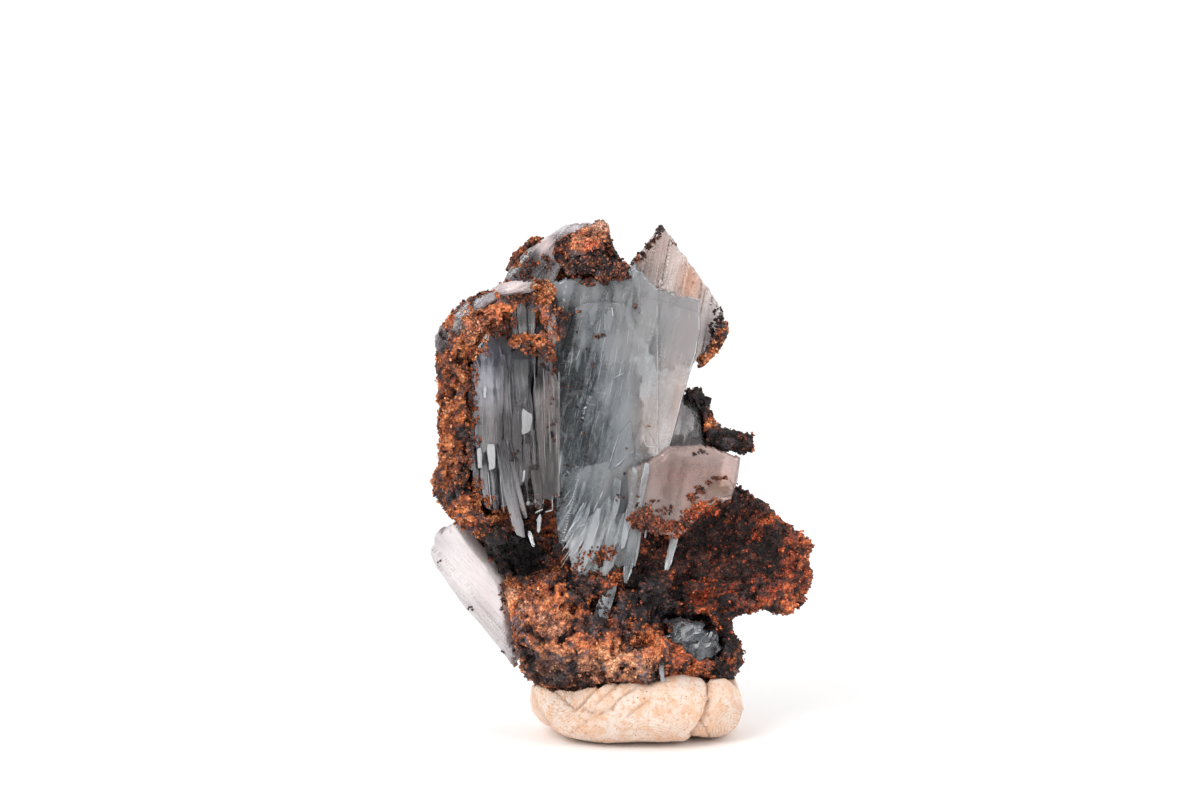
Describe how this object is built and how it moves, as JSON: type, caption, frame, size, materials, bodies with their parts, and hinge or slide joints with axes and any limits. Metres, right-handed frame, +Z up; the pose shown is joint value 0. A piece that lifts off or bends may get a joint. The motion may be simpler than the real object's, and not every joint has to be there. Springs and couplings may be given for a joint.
{
  "type": "mineral specimen",
  "caption": "Barite blades and laths on a crusty goethite matrix, held upright in a pressed lump of cream display putty",
  "frame": {"origin": "middle of the flat foot of the display putty, on the surface that it rests on", "axes": "+Z up; +X to the right of the display side; +Y away from the display side"},
  "size_m": [0.0578, 0.0236, 0.0786],
  "materials": {
    "barite_blue": "gloss",
    "barite_pink": "gloss",
    "barite_white": "satin",
    "goethite": "matte",
    "putty": "matte"
  },
  "bodies": {
    "root": {"barite_main_blade": "barite_blue", "barite_left_fan": "barite_blue", "barite_back_blade": "barite_pink", "barite_top_plate": "barite_blue", "barite_pink_blade": "barite_pink", "barite_corner_crystal": "barite_blue", "barite_lower_spray": "barite_blue", "barite_hanging_lath": "barite_blue", "barite_side_plate": "barite_white", "barite_foot_crystal": "barite_blue", "barite_cavity_lath": "barite_blue", "goethite_matrix": "goethite", "goethite_rim_crust": "goethite", "display_putty": "putty"}
  },
  "joints": []
}
